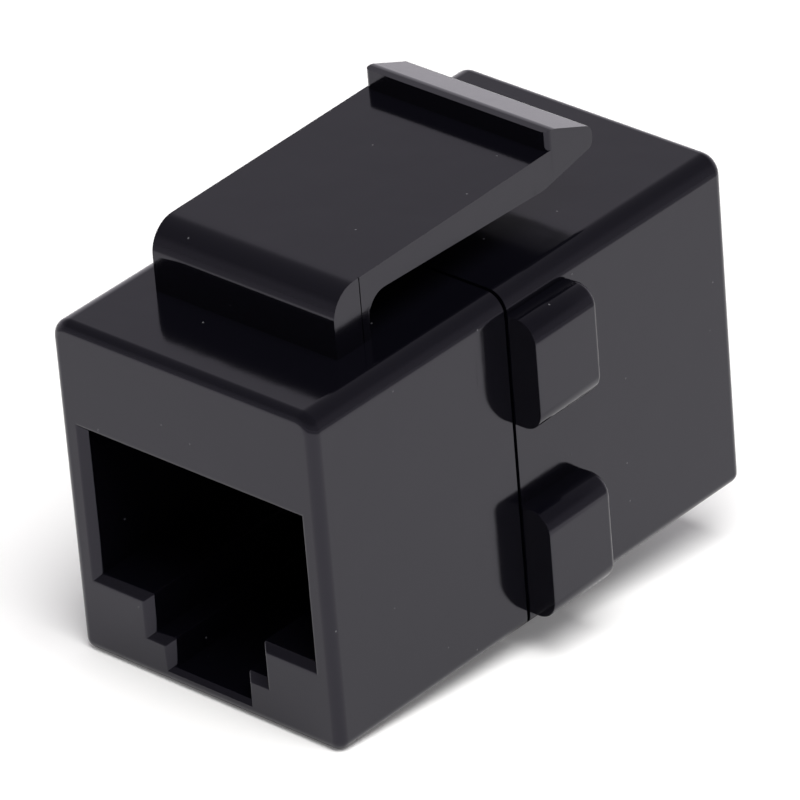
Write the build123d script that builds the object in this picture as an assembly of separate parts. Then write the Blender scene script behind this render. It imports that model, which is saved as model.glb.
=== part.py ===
"""Keystone coupler: an inline socket-to-socket coupler that snaps into a keystone panel cut-out.

Two hollow moulded halves meet at a seam. Each holds a modular port with its tab slot downwards,
a contact insert with eight spring contacts, and both inserts stand on one circuit board in the
middle. A latch arm rises from the front half and runs back to a lip. The rear half carries two
lugs on each side and a catch under the body.
"""
import os
from math import radians, tan

from build123d import *

# All sizes are in millimetres: X across, Y from the front port to the rear port, Z up.
# The origin is under the middle of the body, level with the lowest face of the bottom catch.

# Port, the same at both ends: a wide bay, and a slot in two steps for the plug's tab
PORT_WIDTH = 11.84
PORT_HEIGHT = 6.95
BAY_DEPTH = 11.2
LEDGE_HEIGHT = 3.98
STEP_WIDTH = 6.16
STEP_HEIGHT = 2.16
SLOT_WIDTH = 4.08
SLOT_FLOOR = 0.8
MOUTH_CHAMFER = 0.34
SLOT_FLOOR_CHAMFER = 0.2

# Circuit board, upright across the middle of the body
BOARD_THICKNESS = 1.2
BOARD_SIDE_GAP = 0.42
BOARD_END_GAP = 0.45
BOARD_HOLE = 0.6

# Contact insert: a comb over the bay and a wall at its end
COMB_HEIGHT = 3.87
BACK_WALL = 1.2
COMB_SLIT = 0.5
SLIT_RISE = 3.1
WINDOW_SILL = 0.9
TAIL_POCKET_DEPTH = 0.7
TAIL_POCKET_MARGIN = 0.35

# Spring contacts
CONTACT_COUNT = 8
CONTACT_PITCH = 1.02
CONTACT_THICKNESS = 0.36
CONTACT_ROWS = (1.4, 2.6)
CONTACT_TURN_DEPTH = 2.4
CONTACT_TURN_DROP = 0.35
CONTACT_TIP_SETBACK = 1.2
CONTACT_TIP_DROP = 2.2
CONTACT_BEND_RADIUS = 0.45
TAIL_LENGTH = 0.5

# Body walls and edges
SIDE_WALL = 1.33
TOP_WALL = 1.3
BOTTOM_WALL = 1.3
FRONT_WALL = 1.3
TOP_EDGE_RADIUS = 0.9
BOTTOM_EDGE_RADIUS = 0.52
FACE_EDGE_RADIUS = 0.5
FIT = 0.05

# Seam: the rear half has a tongue that slides into a rebate in the front half
SEAM_PAST_BAY = 0.71
SEAM_GAP = 0.19
LAP_LENGTH = 1.0
LAP_THICKNESS = 0.6
LAP_CORNER_RADIUS = 0.3

# Latch, as depths from the front face and heights above the body
LATCH_WIDTH = 10.0
LATCH_FRONT = 4.15
LATCH_RISE = 3.05
CROWN_RADIUS = 1.35
ROOT_LENGTH = 2.05
ROOT_SPLIT = 0.03
HINGE_RISE = 0.9
ARM_UNDERCUT_RADIUS = 1.1
ARM_SLOPE = 1.3
ARM_TO_LIP = 11.4
ARM_END_THICKNESS = 1.63
LIP_RISE = 0.98
LIP_LENGTH = 2.85
LIP_CREST = 0.5
LIP_TAIL_DROP = 0.9
LIP_TAIL_HEIGHT = 1.05
LIP_TAIL_TAPER = 3.2
LIP_FRONT_RADIUS = 0.35
LIP_TAIL_RADIUS = 0.35
ARM_EDGE_RADIUS = 0.1

# Side lugs, two on each side of the rear half
LUG_LENGTH = 3.82
LUG_LEAD = 0.08
LUG_REACH = 1.53
LUG_HEIGHT = 5.12
LOWER_LUG_INSET = 0.82
UPPER_LUG_INSET = 0.97
LUG_CROWN_RADIUS = 0.95
LUG_SOLE_RADIUS = 0.6
LUG_REAR_RADIUS = 0.35

# Catch under the rear half: a ramp that deepens towards the rear
CATCH_WIDTH = 9.9
CATCH_LENGTH = 3.82
CATCH_LEAD = 1.15
CATCH_DROP = 1.65
CATCH_FLAT = 0.85
CATCH_RADIUS = 0.2

BODY_WIDTH = PORT_WIDTH + 2 * SIDE_WALL
CEILING = LEDGE_HEIGHT + PORT_HEIGHT
BODY_HEIGHT = CEILING + COMB_HEIGHT + TOP_WALL
BOARD_FACE = BAY_DEPTH + BACK_WALL
BODY_LENGTH = 2 * BOARD_FACE + BOARD_THICKNESS
FRONT_LENGTH = BAY_DEPTH + SEAM_PAST_BAY - SEAM_GAP / 2
REAR_LENGTH = BODY_LENGTH - FRONT_LENGTH - SEAM_GAP
ROOM_TOP = BODY_HEIGHT - TOP_WALL

# Both halves are drawn from their own port face, with Y running into the body and Z from
# the underside, and these two places put them together.
FRONT_PLACE = Pos(0, -BODY_LENGTH / 2, CATCH_DROP)
REAR_PLACE = Pos(0, BODY_LENGTH / 2, CATCH_DROP) * Rot(0, 0, 180)


def block(x0, x1, y0, y1, z0, z1):
    """A box between two corners."""
    middle = Pos((x0 + x1) / 2, (y0 + y1) / 2, (z0 + z1) / 2)
    return middle * Box(x1 - x0, y1 - y0, z1 - z0)


def across(outline, start, end):
    """An outline drawn in X and Z, run from one depth to another."""
    return Pos(0, start, 0) * extrude(Plane.XZ * outline, -(end - start))


def along(outline, width):
    """An outline drawn in Y and Z, run across the body's middle."""
    return extrude(Plane.YZ * outline, width / 2, both=True)


def outline_of(corners):
    """A face through corners given as (u, v, radius), each rounded to its radius."""
    face = make_face(Polyline(*[(u, v) for u, v, radius in corners], close=True))
    for u, v, radius in corners:
        if radius > 0:
            corner = face.vertices().sort_by_distance((u, v, 0))[0]
            face = fillet(corner, radius)
    return face


def port_outline():
    """The port's stepped opening, seen from the front."""
    right = [
        (SLOT_WIDTH / 2, SLOT_FLOOR),
        (SLOT_WIDTH / 2, STEP_HEIGHT),
        (STEP_WIDTH / 2, STEP_HEIGHT),
        (STEP_WIDTH / 2, LEDGE_HEIGHT),
        (PORT_WIDTH / 2, LEDGE_HEIGHT),
        (PORT_WIDTH / 2, CEILING),
    ]
    left = [(-x, z) for x, z in reversed(right)]
    return make_face(Polyline(*right, *left, close=True))


def chamfered_mouth(body):
    """The body with its port's mouth chamfered, and less so along the floor of the slot."""
    floor = (0, 0, SLOT_FLOOR)
    mouth = body.faces().sort_by(Axis.Y)[0].inner_wires()[0].edges().sort_by_distance(floor)
    body = chamfer(mouth[1:], MOUTH_CHAMFER)
    return chamfer(body.edges().sort_by_distance(floor)[0], SLOT_FLOOR_CHAMFER)


def half_body(length):
    """One hollow half of the body, with its port and the room for the insert and board."""
    side = BODY_WIDTH / 2
    skin = outline_of([
        (-side, 0, BOTTOM_EDGE_RADIUS),
        (side, 0, BOTTOM_EDGE_RADIUS),
        (side, BODY_HEIGHT, TOP_EDGE_RADIUS),
        (-side, BODY_HEIGHT, TOP_EDGE_RADIUS),
    ])
    body = across(skin, 0, length)
    rim = body.faces().sort_by(Axis.Y)[0].edges()
    body = fillet(rim, FACE_EDGE_RADIUS)
    body = chamfered_mouth(body - across(port_outline(), 0, BAY_DEPTH))
    half = PORT_WIDTH / 2
    comb_room = block(-half, half, FRONT_WALL, length, CEILING, ROOM_TOP)
    board_room = block(-half, half, BAY_DEPTH, length, BOTTOM_WALL, ROOM_TOP)
    return body - comb_room - board_room


def lap_ring(start, end, clearance):
    """The solid that the tongue fills, out to its outer face."""
    grow = 2 * (LAP_THICKNESS + clearance)
    height = ROOM_TOP - BOTTOM_WALL
    rectangle = RectangleRounded(PORT_WIDTH + grow, height + grow, LAP_CORNER_RADIUS + clearance)
    return across(Pos(0, BOTTOM_WALL + height / 2) * rectangle, start, end)


def tongue():
    """The rear half's tongue, drawn from the rear port's face."""
    root = REAR_LENGTH - LAP_LENGTH
    tip = REAR_LENGTH + SEAM_GAP + LAP_LENGTH
    ring = lap_ring(root, tip, 0)
    half = PORT_WIDTH / 2
    return ring - block(-half, half, root, tip, BOTTOM_WALL, ROOM_TOP)


def latch_root():
    """The block that carries the arm: a front wall with a rounded crown."""
    front = LATCH_FRONT
    hinge = LATCH_FRONT + ROOT_LENGTH
    base = BODY_HEIGHT - TOP_WALL / 2
    top = BODY_HEIGHT + LATCH_RISE
    foot = HINGE_RISE
    face = outline_of([
        (front, base, 0),
        (front, top, CROWN_RADIUS),
        (hinge, top, 0),
        (hinge, BODY_HEIGHT + HINGE_RISE, 0),
        (hinge, BODY_HEIGHT, 0),
        (hinge + foot, BODY_HEIGHT, 0),
        (hinge + foot, base, 0),
    ])
    sweep_round = Pos(hinge + foot, BODY_HEIGHT + foot) * Circle(foot)
    web = Pos(hinge + foot / 2, BODY_HEIGHT + foot / 2) * Rectangle(foot, foot)
    return along(face + (web - sweep_round), LATCH_WIDTH)


def latch_arm():
    """The spring arm with the lip at its free end."""
    hinge = LATCH_FRONT + ROOT_LENGTH
    start = hinge + ROOT_SPLIT
    lip = hinge + ARM_TO_LIP
    tail = lip + LIP_LENGTH
    top = BODY_HEIGHT + LATCH_RISE
    lip_foot = top + ARM_TO_LIP * tan(radians(ARM_SLOPE))
    crest = lip_foot + LIP_RISE
    sole = lip_foot - ARM_END_THICKNESS
    low = BODY_HEIGHT + HINGE_RISE
    under = low + ARM_UNDERCUT_RADIUS
    face = outline_of([
        (start, top, 0),
        (lip, lip_foot, 0),
        (lip, crest, LIP_FRONT_RADIUS),
        (lip + LIP_CREST, crest, 0),
        (tail, crest - LIP_TAIL_DROP, LIP_TAIL_RADIUS),
        (tail, crest - LIP_TAIL_DROP - LIP_TAIL_HEIGHT, LIP_TAIL_RADIUS),
        (tail - LIP_TAIL_TAPER, sole, 0),
        (start + ARM_UNDERCUT_RADIUS, under, 0),
        (start, under, 0),
    ])
    corner = Pos(start + ARM_UNDERCUT_RADIUS / 2, low + ARM_UNDERCUT_RADIUS / 2)
    web = corner * Rectangle(ARM_UNDERCUT_RADIUS, ARM_UNDERCUT_RADIUS)
    hollow = Pos(start + ARM_UNDERCUT_RADIUS, low) * Circle(ARM_UNDERCUT_RADIUS)
    arm = along(face + (web - hollow), LATCH_WIDTH)
    sides = [face for face in arm.faces() if abs(face.normal_at().X) > 0.9]
    rims = [edge for side in sides for edge in side.edges() if edge.center().Y > start + ROOT_SPLIT]
    return fillet(rims, ARM_EDGE_RADIUS)


def side_lug(bottom):
    """One lug on the right side, its front face a little over the seam."""
    wall = BODY_WIDTH / 2
    face = outline_of([
        (wall - SIDE_WALL / 2, bottom, 0),
        (wall + LUG_REACH, bottom, LUG_SOLE_RADIUS),
        (wall + LUG_REACH, bottom + LUG_HEIGHT, LUG_CROWN_RADIUS),
        (wall - SIDE_WALL / 2, bottom + LUG_HEIGHT, 0),
    ])
    seam = FRONT_LENGTH + SEAM_GAP
    lug = across(face, seam - LUG_LEAD, seam + LUG_LENGTH)
    lug -= block(0, wall, seam - LUG_LEAD, seam, 0, BODY_HEIGHT)
    rear = lug.faces().sort_by(Axis.Y)[-1]
    rims = [edge for edge in rear.edges() if edge.center().X > wall - SIDE_WALL / 4]
    return fillet(rims, LUG_REAR_RADIUS)


def bottom_catch():
    """The ramp under the body, with its catch face to the rear."""
    seam = FRONT_LENGTH + SEAM_GAP
    rear = seam + CATCH_LENGTH
    face = outline_of([
        (seam, BOTTOM_WALL / 2, 0),
        (seam, -CATCH_LEAD, CATCH_RADIUS),
        (rear - CATCH_FLAT, -CATCH_DROP, 0),
        (rear, -CATCH_DROP, CATCH_RADIUS),
        (rear, BOTTOM_WALL / 2, 0),
    ])
    return along(face, CATCH_WIDTH)


def contact_insert():
    """The comb and back wall of one port, with a slit for each contact."""
    half = PORT_WIDTH / 2 - FIT
    comb = block(-half, half, FRONT_WALL + FIT, BOARD_FACE, CEILING, ROOM_TOP - FIT)
    wall = block(-half, half, BAY_DEPTH + FIT, BOARD_FACE, BOTTOM_WALL + FIT, CEILING)
    insert = comb + wall
    slit = COMB_SLIT / 2
    for x in contact_places():
        insert -= block(x - slit, x + slit, FRONT_WALL, BAY_DEPTH, CEILING - FIT, CEILING + SLIT_RISE)
        window = block(x - slit, x + slit, BAY_DEPTH, BOARD_FACE, CEILING + WINDOW_SILL, CEILING + SLIT_RISE)
        insert -= window
    reach = contact_places()[-1] + slit + TAIL_POCKET_MARGIN
    pocket_start = BOARD_FACE - TAIL_POCKET_DEPTH
    return insert - block(-reach, reach, pocket_start, BOARD_FACE, CEILING + WINDOW_SILL, CEILING + SLIT_RISE)


def contact_places():
    """Where the contacts stand across the body."""
    middle = (CONTACT_COUNT - 1) / 2
    return [(index - middle) * CONTACT_PITCH for index in range(CONTACT_COUNT)]


def spring_contact(index):
    """One formed wire: tail through the board, run along the comb, turn, and spring tip."""
    row = CEILING + CONTACT_ROWS[index % len(CONTACT_ROWS)]
    tail = BOARD_FACE + BOARD_THICKNESS + TAIL_LENGTH
    path = FilletPolyline(
        (tail, row),
        (CONTACT_TURN_DEPTH, row),
        (CONTACT_TURN_DEPTH, CEILING + CONTACT_TURN_DROP),
        (BAY_DEPTH - CONTACT_TIP_SETBACK, CEILING - CONTACT_TIP_DROP),
        radius=CONTACT_BEND_RADIUS,
    )
    start = Plane(origin=path @ 0, x_dir=(0, 0, 1), z_dir=path % 0)
    section = start * Rectangle(CONTACT_THICKNESS, CONTACT_THICKNESS)
    wire = sweep(section, path=path, transition=Transition.RIGHT)
    return Pos(contact_places()[index], 0, 0) * (Plane.YZ * wire)


def circuit_board():
    """The upright board, with a hole for each contact's tail from either side."""
    low = BOTTOM_WALL + BOARD_END_GAP
    high = ROOM_TOP - BOARD_END_GAP
    half = PORT_WIDTH / 2 - BOARD_SIDE_GAP
    board = block(-half, half, BOARD_FACE, BOARD_FACE + BOARD_THICKNESS, low, high)
    for x in contact_places():
        for rise in CONTACT_ROWS:
            hole = Pos(x, CEILING + rise) * Circle(BOARD_HOLE / 2)
            board -= across(hole, BOARD_FACE, BOARD_FACE + BOARD_THICKNESS)
    return board


def front_housing():
    """The front half with the latch's root, rebated for the tongue."""
    body = half_body(FRONT_LENGTH) + latch_root()
    return body - lap_ring(FRONT_LENGTH - LAP_LENGTH, FRONT_LENGTH, FIT)


def rear_housing():
    """The rear half with its tongue, side lugs and bottom catch, in the front half's frame."""
    turn = Pos(0, BODY_LENGTH, 0) * Rot(0, 0, 180)
    body = turn * (half_body(REAR_LENGTH) + tongue())
    for bottom in (LOWER_LUG_INSET, BODY_HEIGHT - UPPER_LUG_INSET - LUG_HEIGHT):
        lug = side_lug(bottom)
        body += [lug, mirror(lug, Plane.YZ)]
    body += bottom_catch()
    half = PORT_WIDTH / 2
    return body - block(-half, half, FRONT_LENGTH, BODY_LENGTH - BAY_DEPTH, BOTTOM_WALL, ROOM_TOP)


def build():
    """Every node of the coupler, by name, in its place."""
    nodes = {
        "front_housing": FRONT_PLACE * front_housing(),
        "rear_housing": FRONT_PLACE * rear_housing(),
        "latch_arm": FRONT_PLACE * latch_arm(),
        "circuit_board": FRONT_PLACE * circuit_board(),
        "front_contact_insert": FRONT_PLACE * contact_insert(),
        "rear_contact_insert": REAR_PLACE * contact_insert(),
    }
    for index in range(CONTACT_COUNT):
        nodes[f"front_contact_{index + 1}"] = FRONT_PLACE * spring_contact(index)
        nodes[f"rear_contact_{index + 1}"] = REAR_PLACE * spring_contact(index)
    return nodes


os.makedirs("parts", exist_ok=True)
for name, node in build().items():
    node.label = name
    export_step(node, f"parts/{name}.step")
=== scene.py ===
"""Looks of a black keystone coupler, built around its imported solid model."""
import math

import bmesh
import bpy
from mathutils import Matrix, Quaternion, Vector


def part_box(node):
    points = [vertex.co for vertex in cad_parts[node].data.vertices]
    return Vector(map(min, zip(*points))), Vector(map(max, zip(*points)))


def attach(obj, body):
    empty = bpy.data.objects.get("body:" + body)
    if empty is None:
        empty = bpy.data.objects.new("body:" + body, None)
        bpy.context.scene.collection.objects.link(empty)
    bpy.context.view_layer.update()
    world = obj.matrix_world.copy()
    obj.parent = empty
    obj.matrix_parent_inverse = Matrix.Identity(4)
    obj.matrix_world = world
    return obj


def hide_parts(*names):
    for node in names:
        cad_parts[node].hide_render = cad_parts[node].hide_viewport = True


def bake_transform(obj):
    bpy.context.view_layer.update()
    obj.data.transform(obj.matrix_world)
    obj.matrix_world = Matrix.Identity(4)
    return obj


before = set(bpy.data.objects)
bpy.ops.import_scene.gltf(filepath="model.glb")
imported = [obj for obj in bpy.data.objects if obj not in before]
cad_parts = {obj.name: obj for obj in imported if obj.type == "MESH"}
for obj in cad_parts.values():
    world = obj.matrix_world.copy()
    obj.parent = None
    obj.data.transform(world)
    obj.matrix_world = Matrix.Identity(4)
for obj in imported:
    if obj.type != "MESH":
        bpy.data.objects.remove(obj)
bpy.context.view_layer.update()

# The studio: a white sheet that runs up behind the coupler, with a dim room above and in front of it, so that
# the black plastic mirrors white low down and grey higher up. The sheet itself carries a painted pool of
# light, white near the coupler and behind it and grey further out. The coupler leans on its front edge and
# its bottom catch, and the sheet is laid along those two.
MM = 0.001
SHEET_SIZE = 0.6
LEAN = math.radians(6.43)
CATCH_EDGE = Vector((0, 1.99, 0)) * MM
BEHIND = (-0.690, 0.724, 0.0)
SIDE_GAIN = 1.25
BLACK = (0, 0, 0, 1)
WHITE = (1, 1, 1, 1)


class Value:
    """A socket, or a number, that Python arithmetic turns into Math nodes."""

    def __init__(self, nodes, socket):
        self.nodes = nodes
        self.socket = socket

    def math(self, operation, *others, **settings):
        settings["operation"] = operation
        return self.nodes.add("ShaderNodeMath", settings, dict(enumerate([self, *others])))[0]

    def __add__(self, other):
        return self.math("ADD", other)

    def __sub__(self, other):
        return self.math("SUBTRACT", other)

    def __mul__(self, other):
        return self.math("MULTIPLY", other)

    def __truediv__(self, other):
        return self.math("DIVIDE", other)

    def __gt__(self, other):
        return self.math("GREATER_THAN", other)

    def __lt__(self, other):
        return self.math("LESS_THAN", other)

    def __radd__(self, other):
        return self.math("ADD", other)

    def __rsub__(self, other):
        return self.nodes.add("ShaderNodeMath", {"operation": "SUBTRACT"}, {0: other, 1: self})[0]

    def clamped(self):
        return self.math("MULTIPLY", 1.0, use_clamp=True)


class Nodes:
    """The node tree of one material, or of the world."""

    def __init__(self, owner):
        owner.use_nodes = True
        self.tree = owner.node_tree
        self.tree.nodes.clear()

    def add(self, kind, settings, sockets):
        """One node: settings are its own properties, sockets the values or links it takes."""
        node = self.tree.nodes.new(kind)
        for name, setting in settings.items():
            if name == "stops":
                ramp = node.color_ramp
                while len(ramp.elements) < len(setting):
                    ramp.elements.new(0.5)
                for element, (place, colour) in zip(ramp.elements, setting):
                    element.position = place
                    element.color = colour
            else:
                setattr(node, name, setting)
        for name, value in sockets.items():
            if isinstance(value, Value):
                self.tree.links.new(value.socket, node.inputs[name])
            else:
                node.inputs[name].default_value = value
        return {key: Value(self, socket) for key, socket in [*enumerate(node.outputs), *node.outputs.items()]}

    def vector(self, operation, *operands):
        """One Vector Math node."""
        return self.add("ShaderNodeVectorMath", {"operation": operation}, dict(enumerate(operands)))

    def mix(self, share, first, second):
        """The first colour, or by its share the second."""
        return self.add("ShaderNodeMix", {"data_type": "RGBA"}, {0: share, 6: first, 7: second})[2]


def violet_grey(level):
    return (level * 1.02, level * 0.98, level * 1.05, 1.0)


world = bpy.data.worlds.new("studio")
bpy.context.scene.world = world
sky = Nodes(world)
direction = sky.add("ShaderNodeTexCoord", {}, {})["Generated"]
height = sky.add("ShaderNodeSeparateXYZ", {}, {0: direction})["Z"]
backward = sky.vector("DOT_PRODUCT", direction, BEHIND)["Value"]
SHEET_STOPS = [
    (0.0, violet_grey(1.0)),
    (0.30, violet_grey(0.85)),
    (0.47, violet_grey(0.53)),
    (0.56, violet_grey(0.48)),
    (0.70, violet_grey(0.28)),
    (1.0, violet_grey(0.22)),
]
ROOM_STOPS = [
    (0.0, violet_grey(0.37)),
    (0.30, violet_grey(0.34)),
    (0.55, violet_grey(0.19)),
    (1.0, violet_grey(0.17)),
]
risen = sky.add("ShaderNodeValToRGB", {"stops": SHEET_STOPS}, {0: height})["Color"]
room = sky.add("ShaderNodeValToRGB", {"stops": ROOM_STOPS}, {0: height})["Color"]
side = (backward * SIDE_GAIN).clamped()
sky_colour = sky.mix(side, room, risen)
seen = sky.add("ShaderNodeLightPath", {}, {})["Is Camera Ray"]
backdrop = sky.mix(seen, sky_colour, WHITE)
shine = sky.add("ShaderNodeBackground", {}, {"Color": backdrop, "Strength": 1.0})[0]
sky.add("ShaderNodeOutputWorld", {}, {"Surface": shine})

# The sheet's colour holds a painted pool of light: white within about 40 mm of the coupler's footprint and
# towards behind it, fading to grey further out in front, so that the plastic mirrors a bright floor close by
# and a dimmer one beyond. Camera rays also see a white glow on it, full beyond the pool and faint within it.
SHEET_WHITE = (0.92, 0.915, 0.90, 1)
SHEET_PAINTED_DIM = (0.38, 0.37, 0.39, 1)
SHEET_GLOW = 0.12
FOOTPRINT = (8 * MM, 13 * MM, 0)
PAINTED_POOL_REACH = 40 * MM
PAINTED_POOL_FADE = 8 * MM
bpy.ops.object.select_all(action="DESELECT")
bpy.ops.mesh.primitive_plane_add(size=SHEET_SIZE, location=CATCH_EDGE, rotation=(-LEAN, 0, 0))
sheet = bpy.context.object
sheet.name = "paper_sheet"
paper = bpy.data.materials.new("paper_painted_pool")
nodes = Nodes(paper)
spot = nodes.add("ShaderNodeTexCoord", {}, {})["Object"]
unsigned = nodes.vector("ABSOLUTE", spot)[0]
beyond = nodes.vector("SUBTRACT", unsigned, FOOTPRINT)[0]
outside = nodes.vector("MAXIMUM", beyond, (0, 0, 0))[0]
spread = nodes.vector("LENGTH", outside)["Value"]
outward = nodes.vector("NORMALIZE", spot)[0]
rearward = nodes.vector("DOT_PRODUCT", outward, BEHIND)["Value"]
# Painted pool of light: the paper is white near the footprint and behind it, grey further out.
painted_pool_near = (1 - (spread - PAINTED_POOL_REACH) / PAINTED_POOL_FADE).clamped()
painted_pool_mask = (painted_pool_near + (rearward * SIDE_GAIN).clamped()).clamped()
painted_pool_paper = nodes.mix(painted_pool_mask, SHEET_PAINTED_DIM, SHEET_WHITE)
matte = nodes.add("ShaderNodeBsdfDiffuse", {}, {"Color": painted_pool_paper})[0]
seen = nodes.add("ShaderNodeLightPath", {}, {})["Is Camera Ray"]
lift = seen * (1 - painted_pool_mask * (1 - SHEET_GLOW))
glow_colour = nodes.mix(lift, BLACK, WHITE)
glow = nodes.add("ShaderNodeEmission", {}, {"Color": glow_colour, "Strength": 1.0})[0]
white = nodes.add("ShaderNodeAddShader", {}, {0: matte, 1: glow})[0]
nodes.add("ShaderNodeOutputMaterial", {}, {"Surface": white})
sheet.data.materials.append(paper)

# The lamp: a large soft panel overhead, a little to the front right, which the plastic
# doesn't mirror.
PANEL_PLACE = Vector((0.24, -0.08, 0.60))
PANEL_SIZE = 0.42
PANEL_ENERGY = 4.85
bpy.ops.object.light_add(type="AREA", location=PANEL_PLACE)
panel = bpy.context.object
panel.rotation_euler = PANEL_PLACE.to_track_quat("Z", "Y").to_euler()
panel.name = "overhead_panel"
panel.data.size = PANEL_SIZE
panel.data.energy = PANEL_ENERGY
panel.visible_glossy = False

# The camera: a long lens from the front right, from above, turned a little on its axis. Its place,
# 0.36 m away, and its lens come from a fit to the coupler's edges.
CAMERA_AZIMUTH = math.radians(43.66)
CAMERA_ELEVATION = math.radians(30.94)
CAMERA_ROLL = math.radians(-4.87)
CAMERA_PLACE = Vector((210.01, -220.23, 192.16)) * MM
CAMERA_LENS = 380.6
SENSOR = 36.0
CLIP_START = 0.01

flat = math.cos(CAMERA_ELEVATION)
back = Vector(
    (
        math.sin(CAMERA_AZIMUTH) * flat,
        -math.cos(CAMERA_AZIMUTH) * flat,
        math.sin(CAMERA_ELEVATION),
    )
)
camera = bpy.data.objects.new("camera", bpy.data.cameras.new("camera"))
bpy.context.scene.collection.objects.link(camera)
camera.data.sensor_width = SENSOR
camera.data.lens = CAMERA_LENS
camera.data.clip_start = CLIP_START
camera.location = CAMERA_PLACE
camera.rotation_mode = "QUATERNION"
camera.rotation_quaternion = Quaternion(back, CAMERA_ROLL) @ back.to_track_quat("Z", "Y")
bpy.context.scene.camera = camera
bpy.context.scene.view_settings.view_transform = "Standard"

# Front housing: the front half of the box, injection moulded in black plastic with a polished
# skin. Its edges leave the mould with a hair-thin break, and it is handled, so the skin has
# slight swells, a few hairlines and some dust. The latch's root stands on it as one moulding.
PLASTIC_BLACK = (0.0020, 0.0019, 0.0034, 1)
DUST_GREY = (0.10, 0.10, 0.105, 1)
PLASTIC_GLOSS = 0.11
PLASTIC_TINT = (0.975, 0.94, 1.12, 1)
PLASTIC_IOR = 1.46
SWELL_DEPTH = 0.012 * MM
PORE_DEPTH = 0.0006 * MM
HAIRLINE_DEPTH = 0.0004 * MM
SPECK_HEIGHT = 0.01 * MM
SPECK_SIZE = 0.032
HAIRLINES = ((0.5, 130.0, 6200.0), (2.2, 110.0, 5300.0))
HAIRLINE_CUT = 0.77
RUBBED_CUT = 0.56
EDGE_BREAK = 0.08 * MM
MOUTH_START = 12.5
SLOT_TOP = 2.8
SEAM_MARGIN = 0.1
TOUCH = 0.01
MERGE = 0.002 * MM
SAME_PLANE = math.radians(0.3)
SHARP_ANGLE = math.radians(37)
MITRE_ANGLE = math.radians(-4)
FLAT_WEIGHT = 80
BODY_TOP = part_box("rear_housing")[1][2] / MM
SEAM_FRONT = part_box("front_housing")[1][1] / MM


def only(piece):
    """Makes the piece the one selected and active object."""
    bpy.ops.object.select_all(action="DESELECT")
    piece.select_set(True)
    bpy.context.view_layer.objects.active = piece


def pick(piece, kind, chosen):
    """In edit mode, selects the points, edges or faces whose every corner passes, in mm."""
    bpy.ops.mesh.select_mode(type=kind)
    bpy.ops.mesh.select_all(action="DESELECT")
    bpy.ops.object.mode_set(mode="OBJECT")
    mesh = piece.data
    places = [point.co / MM for point in mesh.vertices]
    if kind == "VERT":
        for point, place in zip(mesh.vertices, places):
            point.select = bool(chosen(place))
    else:
        for element in mesh.edges if kind == "EDGE" else mesh.polygons:
            element.select = all(chosen(places[corner]) for corner in element.vertices)
    bpy.ops.object.mode_set(mode="EDIT")


def merged_copy(node, name):
    """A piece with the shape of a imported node, its flats made whole again."""
    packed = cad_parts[node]
    piece = bpy.data.objects.new(name, packed.data.copy())
    bpy.context.scene.collection.objects.link(piece)
    piece.data.materials.clear()
    only(piece)
    bpy.ops.object.mode_set(mode="EDIT")
    bpy.ops.mesh.select_all(action="SELECT")
    bpy.ops.mesh.remove_doubles(threshold=MERGE)
    bpy.ops.mesh.dissolve_limited(angle_limit=SAME_PLANE)
    bpy.ops.object.mode_set(mode="OBJECT")
    return piece


def level_flats(piece):
    """Shades the piece smooth up to its sharp edges, with its flat faces dead flat."""
    bpy.ops.object.shade_smooth_by_angle(angle=SHARP_ANGLE)
    levelling = piece.modifiers.new("flat_flats", "WEIGHTED_NORMAL")
    levelling.weight = FLAT_WEIGHT
    levelling.keep_sharp = True
    bpy.ops.object.modifier_apply(modifier=levelling.name)


def break_edges(piece, width, segments, chosen):
    """Rounds off the sharp outer edges whose middles pass, in mm; its mitres stay crisp."""
    only(piece)
    bpy.ops.object.mode_set(mode="EDIT")
    bpy.ops.mesh.select_mode(type="EDGE")
    bpy.ops.mesh.select_all(action="DESELECT")
    form = bmesh.from_edit_mesh(piece.data)
    for edge in form.edges:
        if edge.calc_face_angle_signed(0.0) > SHARP_ANGLE:
            edge.select_set(chosen((edge.verts[0].co + edge.verts[1].co) / 2 / MM))
    bmesh.update_edit_mesh(piece.data)
    bpy.ops.mesh.bevel(offset=width, offset_type="OFFSET", segments=segments, profile=0.5, clamp_overlap=True)
    form = bmesh.from_edit_mesh(piece.data)
    for edge in form.edges:
        turn = edge.calc_face_angle_signed(0.0)
        mitre = edge.select and turn < MITRE_ANGLE
        edge.smooth = abs(turn) < SHARP_ANGLE and not mitre
    bmesh.update_edit_mesh(piece.data)
    bpy.ops.object.mode_set(mode="OBJECT")
    level_flats(piece)


def noise(nodes, place, scale, detail, **more):
    """A grey noise, with its scale in grains a metre."""
    return nodes.add("ShaderNodeTexNoise", {}, {"Vector": place, "Scale": scale, "Detail": detail, **more})[0]


def bump(nodes, relief):
    """The normal that a relief, in metres, gives the surface."""
    return nodes.add("ShaderNodeBump", {}, {"Strength": 1.0, "Distance": 1.0, "Height": relief})[0]


def surface(nodes, looks):
    """Ends a material with one Principled surface."""
    shader = nodes.add("ShaderNodeBsdfPrincipled", {}, looks)[0]
    nodes.add("ShaderNodeOutputMaterial", {}, {"Surface": shader})


def slot_mouth(place):
    """True at the mouth of a port's slot, which is too thin for a wide break."""
    return abs(place.y) > MOUTH_START and place.z < SLOT_TOP


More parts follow.
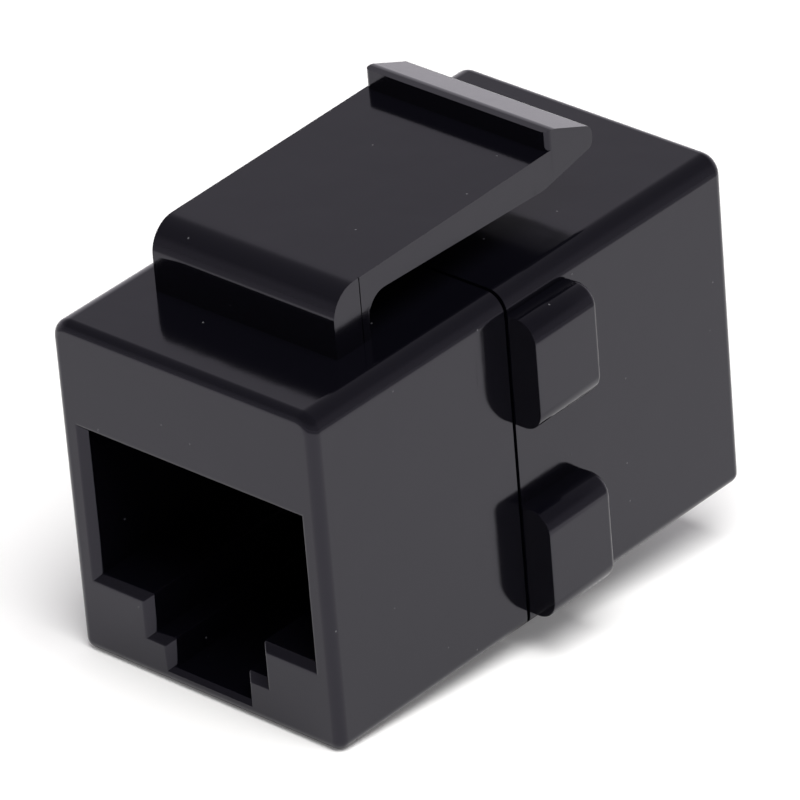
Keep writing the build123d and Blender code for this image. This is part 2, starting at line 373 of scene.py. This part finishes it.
black_moulding = bpy.data.materials.new("black_moulding")
nodes = Nodes(black_moulding)
place = nodes.add("ShaderNodeTexCoord", {}, {})["Object"]
swells = noise(nodes, place, 330.0, 2.0)
pores = noise(nodes, place, 9000.0, 2.0)
smears = noise(nodes, place, 140.0, 5.0, Roughness=0.6)
dust = nodes.add("ShaderNodeTexVoronoi", {}, {"Vector": place, "Scale": 700.0})
speck = dust["Distance"] < SPECK_SIZE
scratches = None
for turn, along, across in HAIRLINES:
    lie = {"Vector": place, "Rotation": (0.2, 0.3, turn), "Scale": (along, across, along)}
    lines = noise(nodes, nodes.add("ShaderNodeMapping", {}, lie)[0], 1.0, 0.0)
    thin = lines > HAIRLINE_CUT
    scratches = thin if scratches is None else scratches + thin
scratched = (scratches * (smears > RUBBED_CUT)).clamped()
skin_relief = swells * SWELL_DEPTH + pores * PORE_DEPTH - scratched * HAIRLINE_DEPTH + speck * SPECK_HEIGHT
surface(
    nodes,
    {
        "Base Color": nodes.mix(speck, PLASTIC_BLACK, DUST_GREY),
        "Roughness": PLASTIC_GLOSS + smears * 0.07 - 0.035 + scratched * 0.06 + speck * 0.4,
        "Normal": bump(nodes, skin_relief),
        "IOR": PLASTIC_IOR,
        "Specular Tint": PLASTIC_TINT,
    },
)

front_shell = merged_copy("front_housing", "front_shell")
bpy.ops.object.mode_set(mode="EDIT")
pick(front_shell, "VERT", lambda place: place.z > BODY_TOP + TOUCH)
bpy.ops.mesh.delete(type="VERT")
bpy.ops.mesh.select_mode(type="EDGE")
bpy.ops.mesh.select_all(action="DESELECT")
bpy.ops.mesh.select_non_manifold()
bpy.ops.mesh.edge_face_add()
bpy.ops.object.mode_set(mode="OBJECT")
break_edges(
    front_shell,
    EDGE_BREAK,
    3,
    lambda place: place.y < SEAM_FRONT - SEAM_MARGIN and not slot_mouth(place),
)
front_shell.data.materials.append(black_moulding)
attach(front_shell, "coupler")
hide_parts("front_housing")

# Rear housing: the rear half, of the same plastic, with the tongue that plugs into the front
# half and the bottom catch. It is cut back to its walls and closed where the side lugs stand,
# because they are pieces of their own.
SEAM_REAR = -0.995
WALL = 7.25
CATCH_TOP = 1.7
rear_shell = merged_copy("rear_housing", "rear_shell")
bpy.ops.object.mode_set(mode="EDIT")
pick(rear_shell, "VERT", lambda place: abs(place.x) > WALL + TOUCH)
bpy.ops.mesh.delete(type="VERT")
pick(rear_shell, "VERT", lambda place: abs(place.x) > WALL - TOUCH and place.y < SEAM_REAR - TOUCH)
bpy.ops.mesh.delete(type="VERT")
bpy.ops.mesh.select_all(action="SELECT")
bpy.ops.mesh.fill_holes(sides=0)
bpy.ops.mesh.dissolve_limited(angle_limit=SAME_PLANE)
bpy.ops.object.mode_set(mode="OBJECT")
break_edges(
    rear_shell,
    EDGE_BREAK,
    3,
    lambda place: place.y > SEAM_REAR + SEAM_MARGIN and not slot_mouth(place) and place.z > CATCH_TOP,
)
rear_shell.data.materials.append(black_moulding)
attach(rear_shell, "coupler")
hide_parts("rear_housing")

# Side lugs: two on each side, moulded in one with the rear housing. The front ends stand square
# on the seam and stop the coupler in its cut-out, and the other edges are rounded.
LUG_ROOT = WALL - 0.02
LUG_REACH = 8.78
LUG_FRONT = -1.075
LUG_REAR = 2.92
LUG_HEIGHT = 5.2
LUG_BOTTOMS = (2.39, 11.58)
LUG_CROWN = 0.95
LUG_SOLE = 1.0
LUG_RIM = 0.32
FINE_BREAK = 0.03 * MM
HAIR = 0.001 * MM


def drawn_line(name, points):
    """Draws a line point by point, in mm, and stays in edit mode."""
    bpy.ops.object.select_all(action="DESELECT")
    bpy.ops.mesh.primitive_plane_add(size=0.1 * MM)
    piece = bpy.context.object
    piece.name = name
    bpy.ops.object.mode_set(mode="EDIT")
    bpy.ops.mesh.select_mode(type="VERT")
    bpy.ops.mesh.select_all(action="SELECT")
    bpy.ops.mesh.merge(type="CENTER")
    bpy.ops.transform.translate(value=Vector(points[0]) * MM)
    for last, point in zip(points, points[1:]):
        step = (Vector(point) - Vector(last)) * MM
        bpy.ops.mesh.extrude_vertices_move(TRANSFORM_OT_translate={"value": step})
    return piece


def extruded_outline(name, outline, depth):
    """Fills a closed outline and extrudes it by a depth, in mm, and stays in edit mode."""
    piece = drawn_line(name, [*outline, outline[0]])
    bpy.ops.mesh.select_all(action="SELECT")
    bpy.ops.mesh.remove_doubles(threshold=HAIR)
    bpy.ops.mesh.edge_face_add()
    bpy.ops.mesh.extrude_region_move(TRANSFORM_OT_translate={"value": Vector(depth) * MM})
    bpy.ops.mesh.select_all(action="SELECT")
    bpy.ops.mesh.normals_make_consistent(inside=False)
    return piece


lug_outline = [
    (LUG_ROOT, LUG_FRONT, 0),
    (LUG_REACH, LUG_FRONT, 0),
    (LUG_REACH, LUG_FRONT, LUG_HEIGHT),
    (LUG_ROOT, LUG_FRONT, LUG_HEIGHT),
]
lug_form = extruded_outline("lug_form", lug_outline, (0, LUG_REAR - LUG_FRONT, 0))
for height, radius in ((LUG_HEIGHT, LUG_CROWN), (0, LUG_SOLE)):
    pick(lug_form, "EDGE", lambda place: place.x > LUG_REACH - TOUCH and abs(place.z - height) < TOUCH)
    bpy.ops.mesh.bevel(offset=radius * MM, offset_type="OFFSET", segments=16, profile=0.5)
pick(lug_form, "EDGE", lambda place: place.y > LUG_REAR - TOUCH)
bpy.ops.mesh.bevel(offset=LUG_RIM * MM, offset_type="OFFSET", segments=8, profile=0.5)
bpy.ops.object.mode_set(mode="OBJECT")
for side, name in ((1, "right"), (-1, "left")):
    for bottom, level in zip(LUG_BOTTOMS, ("lower", "upper")):
        lug = bpy.data.objects.new(f"{name}_{level}_lug", lug_form.data.copy())
        bpy.context.scene.collection.objects.link(lug)
        lug.data.transform(Matrix.Translation((0, 0, bottom * MM)) @ Matrix.Diagonal((side, 1, 1, 1)))
        only(lug)
        bpy.ops.object.mode_set(mode="EDIT")
        bpy.ops.mesh.select_all(action="SELECT")
        bpy.ops.mesh.normals_make_consistent(inside=False)
        bpy.ops.object.mode_set(mode="OBJECT")
        break_edges(lug, FINE_BREAK, 2, lambda place: place.y < LUG_FRONT + TOUCH)
        lug.data.materials.append(black_moulding)
        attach(lug, "coupler")
        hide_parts("rear_housing")
bpy.data.objects.remove(lug_form)

# Latch: a springy arm moulded in one with the front housing. It rises from a root with a round crown and runs
# back to a lip. The real arm bends behind its root when it is pressed; here it is cut across where it bends
# and left unpressed. A fine witness line of the mould stands on each side of the root.
LATCH_HALF = 5.0
LIP_FRONT = 4.60
LIP_FOOT = 21.064
LATCH_OUTLINE = [
    (-8.855, 17.72),
    (-8.855, 20.805),
    (LIP_FRONT, LIP_FOOT),
    (LIP_FRONT, 21.97),
    (5.10, 21.97),
    (7.45, 21.01),
    (7.45, 20.089),
    (4.25, 19.434),
    (-6.77, 19.755),
    (-6.77, 17.72),
]
CROWN_RADIUS = 1.35
LIP_CORNER = 0.3
LIP_CUT = 1.5
SLIVER = 0.004 * MM
WITNESS_LINE = (-7.235, -7.18)
WITNESS_DEPTH = 0.06
LATCH_BENDS = (-6.3, -5.9, -5.5, -5.1, -4.7, -4.3, -3.9, -3.5, -3.1, -2.7)
CREST_FLAT = (4.78, 4.94)


def near(place, y, z):
    return abs(place.y - y) < 2 * TOUCH and abs(place.z - z) < 2 * TOUCH


def in_witness(place):
    return WITNESS_LINE[0] - TOUCH < place.y < WITNESS_LINE[1] + TOUCH


latch_outline = [(-LATCH_HALF, y, z) for y, z in LATCH_OUTLINE]
latch_spring = extruded_outline("latch_spring", latch_outline, (2 * LATCH_HALF, 0, 0))
ROUNDINGS = [
    (-8.855, 20.805, CROWN_RADIUS, 14),
    (-6.77, 19.755, 1.05, 10),
    (5.10, 21.97, 0.14, 3),
    (7.45, 21.01, 0.30, 6),
    (7.45, 20.089, 0.30, 6),
]
for y, z, radius, segments in ROUNDINGS:
    pick(latch_spring, "EDGE", lambda place: near(place, y, z))
    bpy.ops.mesh.bevel(offset=radius * MM, offset_type="OFFSET", segments=segments, profile=0.5)
bpy.ops.object.mode_set(mode="OBJECT")
for side in (-1, 1):
    inner = LATCH_HALF - LIP_CORNER
    rear = LIP_FRONT + LIP_CORNER
    arc = [
        (inner + LIP_CORNER * math.cos(turn), rear - LIP_CORNER * math.sin(turn))
        for turn in (math.radians(15 * step) for step in range(7))
    ]
    ahead = LIP_FRONT - LIP_CORNER
    outer = LATCH_HALF + LIP_CORNER
    corners = [*arc, (inner, ahead), (outer, ahead), (outer, rear)]
    cutter = extruded_outline("cutter", [(side * x, y, LIP_FOOT) for x, y in corners], (0, 0, LIP_CUT))
    bpy.ops.object.mode_set(mode="OBJECT")
    only(latch_spring)
    cut = latch_spring.modifiers.new("lip_corner", "BOOLEAN")
    cut.object = cutter
    cut.solver = "EXACT"
    bpy.ops.object.modifier_apply(modifier=cut.name)
    bpy.data.objects.remove(cutter)
bpy.ops.object.mode_set(mode="EDIT")
bpy.ops.mesh.select_all(action="SELECT")
bpy.ops.mesh.remove_doubles(threshold=SLIVER)
bpy.ops.mesh.dissolve_limited(angle_limit=SAME_PLANE)
for y in (*LATCH_BENDS, *WITNESS_LINE, *CREST_FLAT):
    bpy.ops.mesh.select_all(action="SELECT")
    bpy.ops.mesh.bisect(plane_co=(0, y * MM, 0), plane_no=(0, 1, 0), threshold=HAIR)
for side in (-1, 1):
    pick(latch_spring, "FACE", lambda place: place.x * side > LATCH_HALF - TOUCH and in_witness(place))
    bpy.ops.mesh.extrude_region_move(TRANSFORM_OT_translate={"value": (-side * WITNESS_DEPTH * MM, 0, 0)})
bpy.ops.object.mode_set(mode="OBJECT")
level_flats(latch_spring)
latch_spring.data.materials.append(black_moulding)
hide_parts("latch_arm")
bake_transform(latch_spring)

# Contact inserts: a comb over each port with a slit for every contact, and a wall at the
# port's end that the circuit board stands against. Matte black nylon, pressed in from the seam.
NYLON_BLACK = (0.006, 0.006, 0.0065, 1)
NYLON_WORN = (0.011, 0.011, 0.012, 1)
NYLON_IOR = 1.53
GRAIN_DEPTH = 0.006 * MM
matte_nylon = bpy.data.materials.new("matte_nylon")
nodes = Nodes(matte_nylon)
place = nodes.add("ShaderNodeTexCoord", {}, {})["Object"]
grain = noise(nodes, place, 5200.0, 3.0)
flow = noise(nodes, place, 260.0, 2.0)
surface(
    nodes,
    {
        "Base Color": nodes.mix(flow, NYLON_BLACK, NYLON_WORN),
        "Roughness": 0.46 + flow * 0.12,
        "Normal": bump(nodes, grain * GRAIN_DEPTH),
        "IOR": NYLON_IOR,
    },
)

for end in ("front", "rear"):
    comb = merged_copy(f"{end}_contact_insert", f"{end}_comb")
    break_edges(comb, FINE_BREAK, 1, lambda place: True)
    comb.data.materials.append(matte_nylon)
    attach(comb, "coupler")
    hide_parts(f"{end}_contact_insert")

# Spring contacts: eight round wires a port, gold over nickel on phosphor bronze. Each runs from
# its hole in the board along the comb, turns at the mouth and hangs back into the port.
CONTACTS = 8
WIRE_RADIUS = 0.18
WIRE_PITCH = 1.02
WIRE_TAIL = 1.1
WIRE_TURN = -10.6
WIRE_TURN_LOW = 12.93
WIRE_ROWS = (13.98, 15.18)
WIRE_TIP = (-3.0, 10.38)
WIRE_BEND = 0.45
WIRE_MERGE = 0.0005 * MM
DRAW_DEPTH = 0.0008 * MM
GOLD = (0.86, 0.60, 0.24, 1)
GOLD_DULL = (0.72, 0.50, 0.22, 1)

gold_plate = bpy.data.materials.new("gold_plate")
nodes = Nodes(gold_plate)
place = nodes.add("ShaderNodeTexCoord", {}, {})["Object"]
drawn = nodes.add("ShaderNodeMapping", {}, {"Vector": place, "Scale": (9000.0, 300.0, 9000.0)})[0]
draw_lines = noise(nodes, drawn, 1.0, 2.0)
film = noise(nodes, place, 900.0, 3.0)
surface(
    nodes,
    {
        "Base Color": nodes.mix(film, GOLD, GOLD_DULL),
        "Metallic": 1.0,
        "Roughness": 0.16 + film * 0.14,
        "Normal": bump(nodes, draw_lines * DRAW_DEPTH),
    },
)

wires = []
for row in WIRE_ROWS:
    run = [(0, WIRE_TAIL, row), (0, WIRE_TURN, row), (0, WIRE_TURN, WIRE_TURN_LOW), (0, *WIRE_TIP)]
    wire = drawn_line("wire", run)
    pick(wire, "VERT", lambda place: abs(place.y - WIRE_TURN) < TOUCH)
    bpy.ops.mesh.bevel(offset=WIRE_BEND * MM, offset_type="OFFSET", segments=8, affect="VERTICES")
    bpy.ops.object.mode_set(mode="OBJECT")
    bpy.ops.object.convert(target="CURVE")
    wire.data.bevel_depth = WIRE_RADIUS * MM
    wire.data.bevel_resolution = 3
    wire.data.use_fill_caps = True
    bpy.ops.object.convert(target="MESH")
    wire = bpy.context.object
    bpy.ops.object.mode_set(mode="EDIT")
    bpy.ops.mesh.select_all(action="SELECT")
    bpy.ops.mesh.remove_doubles(threshold=WIRE_MERGE)
    bpy.ops.mesh.normals_make_consistent(inside=False)
    bpy.ops.object.mode_set(mode="OBJECT")
    bpy.ops.object.shade_smooth_by_angle(angle=SHARP_ANGLE)
    wire.data.materials.append(gold_plate)
    wires.append(wire)
for end, turn in (("front", 0), ("rear", math.pi)):
    for index in range(CONTACTS):
        contact = bpy.data.objects.new(f"{end}_wire_{index + 1}", wires[index % 2].data.copy())
        bpy.context.scene.collection.objects.link(contact)
        spot = Matrix.Translation(((index - (CONTACTS - 1) / 2) * WIRE_PITCH * MM, 0, 0))
        contact.data.transform(Matrix.Rotation(turn, 4, "Z") @ spot)
        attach(contact, "coupler")
        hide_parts(f"{end}_contact_{index + 1}")
for wire in wires:
    bpy.data.objects.remove(wire)

# Circuit board: glass-filled laminate under green solder mask, with a gold ring round each hole
# that a contact's tail is soldered in, and copper tracks under the mask.
MASK_GREEN = (0.006, 0.075, 0.025, 1)
TRACK_GREEN = (0.014, 0.14, 0.045, 1)
RING_RADIUS = 0.46 * MM
RING_DEPTH = 0.01 * MM
TRACK_TOP = (WIRE_ROWS[0] - 0.9) * MM
TRACK_HALF = 0.11 * MM
TRACK_HEIGHT = 0.02 * MM
WEAVE_DEPTH = 0.002 * MM
HALF_ROW = CONTACTS / 2 * WIRE_PITCH * MM
BOARD_EDGE = 5.4
board_mask = bpy.data.materials.new("green_solder_mask")
nodes = Nodes(board_mask)
place = nodes.add("ShaderNodeTexCoord", {}, {})["Object"]
apart = nodes.add("ShaderNodeSeparateXYZ", {}, {0: place})
across = (apart["X"] / (WIRE_PITCH * MM)).math("FRACT")
from_hole = (across - 0.5) * (WIRE_PITCH * MM)
ring = None
for row in WIRE_ROWS:
    rise = apart["Z"] - row * MM
    gap = (from_hole * from_hole + rise * rise).math("SQRT")
    in_ring = gap < RING_RADIUS
    ring = in_ring if ring is None else ring + in_ring
in_row = apart["X"].math("ABSOLUTE") < HALF_ROW
plated = in_row * ring.clamped()
track = in_row * (from_hole.math("ABSOLUTE") < TRACK_HALF) * (apart["Z"] < TRACK_TOP)
weave = noise(nodes, place, 2600.0, 2.0)
green = nodes.mix(track, MASK_GREEN, TRACK_GREEN)
surface(
    nodes,
    {
        "Base Color": nodes.mix(plated, green, GOLD),
        "Metallic": plated,
        "Roughness": 0.30 + weave * 0.10 - plated * 0.05,
        "Normal": bump(nodes, track * TRACK_HEIGHT + weave * WEAVE_DEPTH - plated * RING_DEPTH),
    },
)

board = merged_copy("circuit_board", "board")
break_edges(board, FINE_BREAK, 1, lambda place: abs(place.x) > BOARD_EDGE)
board.data.materials.append(board_mask)
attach(board, "coupler")
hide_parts("circuit_board")
